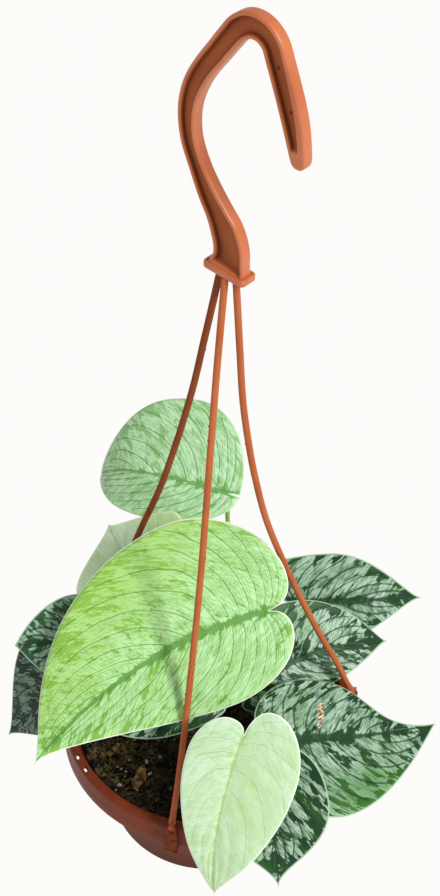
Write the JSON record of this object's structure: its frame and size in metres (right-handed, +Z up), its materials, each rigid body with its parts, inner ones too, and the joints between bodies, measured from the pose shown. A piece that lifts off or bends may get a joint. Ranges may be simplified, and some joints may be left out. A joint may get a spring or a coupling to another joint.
{
  "type": "potted pothos in a hanging pot",
  "caption": "Young satin pothos with broad heart-shaped leaves, growing in a round skirted plastic pot that hangs from a three-strand hanger with a one-piece hook.",
  "frame": {"origin": "seat of the hook, the inner top of its bend, where it rides on its rail", "axes": "+Z up along the way the pot hangs; -Y towards the side that carries the large pale leaf; +X to the right as seen from there"},
  "size_m": [0.2175, 0.1988, 0.4709],
  "materials": {
    "pot": "satin moulded terracotta-coloured plastic",
    "hanger": "satin moulded orange-brown plastic",
    "soil": "loose dark peat with coir fibre and white perlite",
    "stem": "smooth green living stem",
    "leaf_lime": "satin living leaf, lime with deeper green patches",
    "leaf_silver": "satin living leaf, silvery pale green",
    "leaf_cream": "satin living leaf, pale mint with a lime midrib",
    "leaf_dark": "satin living leaf, deep green with silver patches and a pale margin"
  },
  "bodies": {
    "root": {"pot": "pot", "soil": "soil", "hook": "hanger", "strand_front": "hanger", "strand_right": "hanger", "strand_back": "hanger", "stem_back": "stem", "stem_right": "stem", "stem_front": "stem", "stem_left": "stem", "leaf_big_lime": "leaf_lime", "leaf_back_high": "leaf_silver", "leaf_back_low": "leaf_silver", "leaf_front_pale": "leaf_cream", "leaf_right_top": "leaf_dark", "leaf_right_mid": "leaf_dark", "leaf_right_low": "leaf_dark", "leaf_front_dark": "leaf_dark", "leaf_left_top": "leaf_dark", "leaf_left_low": "leaf_dark", "leaf_under": "leaf_dark"}
  },
  "joints": []
}
